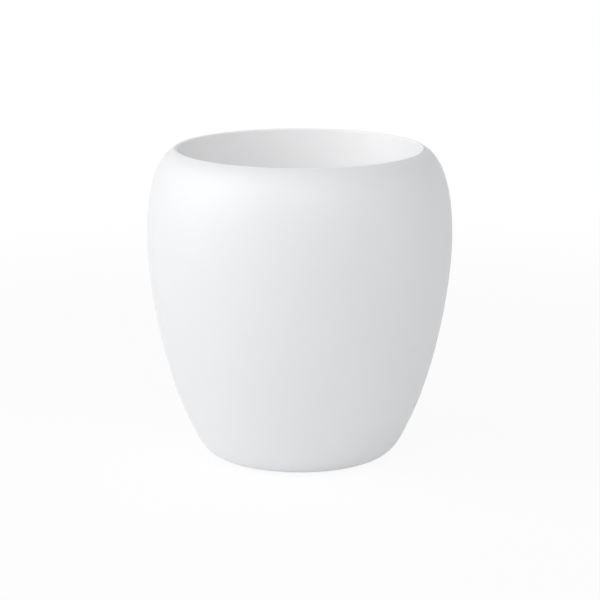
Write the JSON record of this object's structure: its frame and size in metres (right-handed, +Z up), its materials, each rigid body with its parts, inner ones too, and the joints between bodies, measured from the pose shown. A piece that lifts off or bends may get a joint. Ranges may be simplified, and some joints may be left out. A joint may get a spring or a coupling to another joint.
{
  "type": "planter pot",
  "caption": "Round planter pot: a curved white outer shell with a crisp rim, and a tapered inner pot on hollow legs that lifts out over a water reservoir.",
  "frame": {"origin": "on the ground at the centre of the base, level with the undersides of the foot pads", "axes": "+Z up along the pot's axis, +X through one of the inner pot's two finger holes"},
  "size_m": [0.35, 0.35, 0.3585],
  "materials": {
    "shell_plastic": "satin white moulded polyethylene",
    "inner_pot_plastic": "matt white moulded polypropylene",
    "plug_plastic": "light grey moulded polypropylene",
    "seal_rubber": "black EPDM",
    "pad_rubber": "grey thermoplastic rubber"
  },
  "bodies": {
    "shell": {"outer_shell": "shell_plastic", "foot_pad_1": "pad_rubber", "foot_pad_2": "pad_rubber", "foot_pad_3": "pad_rubber", "foot_pad_4": "pad_rubber"},
    "inner_pot": {"inner_pot": "inner_pot_plastic"},
    "drain_plug": {"drain_plug": "plug_plastic", "drain_plug_seal": "seal_rubber"}
  },
  "joints": [
    {"name": "inner_pot_lift", "type": "slide", "parent": "shell", "child": "inner_pot", "axis": [0, 0, 1], "range_m": [0, 0.36]},
    {"name": "drain_plug_pull", "type": "slide", "parent": "shell", "child": "drain_plug", "axis": [0, 0, 1], "range_m": [0, 0.03]}
  ]
}
